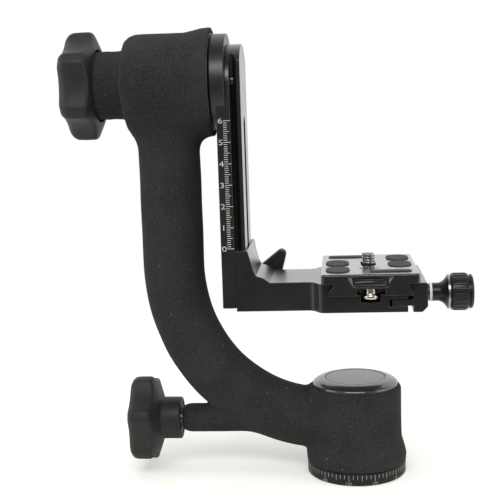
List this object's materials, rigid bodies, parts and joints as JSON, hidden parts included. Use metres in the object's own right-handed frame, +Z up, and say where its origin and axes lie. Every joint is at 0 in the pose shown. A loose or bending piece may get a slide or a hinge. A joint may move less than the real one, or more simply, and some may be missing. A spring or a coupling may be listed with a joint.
{
  "type": "gimbal tripod head",
  "caption": "Side-mount gimbal tripod head: padded curved arm on a panning base, tilting swing arm, height-adjustable L bracket with dovetail plate clamp, star lock knobs.",
  "frame": {"origin": "the pan axis at the underside of the base, at the mouth of the tripod thread", "axes": "+Z up along the pan axis; +X from the curved arm towards the camera clamp, along the tilt axis; +Y towards the height lock's knob"},
  "size_m": [0.1944, 0.068, 0.2196],
  "materials": {
    "anodised_black": "satin black anodising",
    "hub_disc": "fine satin black",
    "cap_rim": "turned, dark grey",
    "cast_alloy": "as cast under the sleeve",
    "sleeve_foam": "matte closed-cell foam",
    "knob_rubber": "matte, moulded",
    "grip_rubber": "matte, ribbed",
    "pad_rubber": "matte",
    "steel": "turned",
    "steel_dark": "blackened",
    "bearing_steel": "ground and polished",
    "bush_brass": "turned",
    "white_nylon": "moulded",
    "ring_alloy": "turned",
    "brake_plastic": "low-friction plastic"
  },
  "bodies": {
    "base": {"pan_base": "anodised_black", "pan_spindle": "steel", "base_screws": "steel_dark", "pan_brake_drum": "steel", "lower_pan_bearing_inner_race": "bearing_steel", "upper_pan_bearing_inner_race": "bearing_steel", "pan_retaining_washer": "steel", "pan_retaining_screw": "steel_dark"},
    "arm": {"arm_casting": "cast_alloy", "arm_sleeve": "sleeve_foam", "pan_cap": "cap_rim", "pan_cap_disc": "hub_disc", "lower_pan_bearing_outer_race": "bearing_steel", "lower_pan_bearing_balls": "bearing_steel", "upper_pan_bearing_outer_race": "bearing_steel", "upper_pan_bearing_balls": "bearing_steel", "front_tilt_bearing_outer_race": "bearing_steel", "front_tilt_bearing_balls": "bearing_steel", "rear_tilt_bearing_outer_race": "bearing_steel", "rear_tilt_bearing_balls": "bearing_steel", "tilt_outer_spacer": "cast_alloy", "tilt_thread_bush": "bush_brass", "pan_thread_bush": "bush_brass"},
    "pan_brake": {"pan_push_rod": "steel", "pan_brake_shoe": "brake_plastic"},
    "pan_knob": {"pan_knob": "knob_rubber", "pan_knob_stud": "steel"},
    "tilt_brake": {"tilt_thrust_pad": "brake_plastic"},
    "tilt_knob": {"tilt_knob": "knob_rubber", "tilt_knob_stud": "steel"},
    "swing": {"tilt_turntable": "anodised_black", "tilt_spindle": "steel", "front_tilt_bearing_inner_race": "bearing_steel", "rear_tilt_bearing_inner_race": "bearing_steel", "tilt_inner_spacer": "steel", "tilt_friction_washer": "brake_plastic", "tilt_retaining_nut": "steel_dark", "swing_arm": "anodised_black", "turntable_screws": "steel_dark", "swing_cap": "hub_disc"},
    "bracket": {"l_bracket": "anodised_black", "height_stop_pin": "steel_dark"},
    "height_jaw": {"height_jaw": "anodised_black"},
    "height_knob": {"height_knob": "knob_rubber", "height_knob_stud": "steel"},
    "clamp_jaw": {"clamp_jaw": "anodised_black"},
    "clamp_knob": {"clamp_knob": "grip_rubber", "clamp_rod": "steel", "clamp_washer": "white_nylon", "clamp_knob_ring": "ring_alloy", "clamp_rod_clip": "steel_dark"},
    "plate": {"qr_plate": "anodised_black", "plate_pads": "pad_rubber", "plate_stop_screws": "steel"},
    "camera_screw": {"camera_screw": "steel"}
  },
  "joints": [
    {"name": "pan", "type": "hinge", "parent": "base", "child": "arm", "pos_m": [0, 0, 0.02], "axis": [0, 0, 1], "continuous": true},
    {"name": "tilt", "type": "hinge", "parent": "arm", "child": "swing", "pos_m": [-0.06, 0, 0.1938], "axis": [1, 0, 0], "continuous": true},
    {"name": "pan_brake_slide", "type": "slide", "parent": "arm", "child": "pan_brake", "axis": [-1, 0, 0], "range_m": [0, 0.00125]},
    {"name": "pan_knob_turn", "type": "hinge", "parent": "pan_brake", "child": "pan_knob", "pos_m": [-0.1, 0, 0.0273], "axis": [-1, 0, 0], "range_deg": [0, 360]},
    {"name": "tilt_brake_slide", "type": "slide", "parent": "arm", "child": "tilt_brake", "axis": [-1, 0, 0], "range_m": [0, 0.0015]},
    {"name": "tilt_knob_turn", "type": "hinge", "parent": "tilt_brake", "child": "tilt_knob", "pos_m": [-0.125, 0, 0.1938], "axis": [-1, 0, 0], "range_deg": [0, 360]},
    {"name": "height_slide", "type": "slide", "parent": "swing", "child": "bracket", "axis": [0, 0, 1], "range_m": [0, 0.063]},
    {"name": "height_jaw_slide", "type": "slide", "parent": "bracket", "child": "height_jaw", "axis": [0, 1, 0], "range_m": [0, 0.001]},
    {"name": "height_knob_turn", "type": "hinge", "parent": "height_jaw", "child": "height_knob", "pos_m": [-0.0445, 0.03, 0.09275], "axis": [0, 1, 0], "range_deg": [0, 360]},
    {"name": "clamp_jaw_slide", "type": "slide", "parent": "bracket", "child": "clamp_jaw", "axis": [1, 0, 0], "range_m": [0, 0.003]},
    {"name": "clamp_knob_turn", "type": "hinge", "parent": "clamp_jaw", "child": "clamp_knob", "pos_m": [0.045, 0, 0.08965], "axis": [1, 0, 0], "range_deg": [0, 1350]},
    {"name": "plate_slide", "type": "slide", "parent": "bracket", "child": "plate", "axis": [0, 1, 0], "range_m": [-0.012, 0.012]},
    {"name": "camera_screw_turn", "type": "hinge", "parent": "plate", "child": "camera_screw", "pos_m": [0.0074, 0, 0.105], "axis": [0, 0, 1], "continuous": true}
  ],
  "couplings": [
    {"joint": "pan_knob_turn", "follows": "pan_brake_slide", "rad_per_m": 5026.5},
    {"joint": "tilt_knob_turn", "follows": "tilt_brake_slide", "rad_per_m": 4188.8},
    {"joint": "height_knob_turn", "follows": "height_jaw_slide", "rad_per_m": 6283.2},
    {"joint": "clamp_knob_turn", "follows": "clamp_jaw_slide", "rad_per_m": 7854}
  ]
}
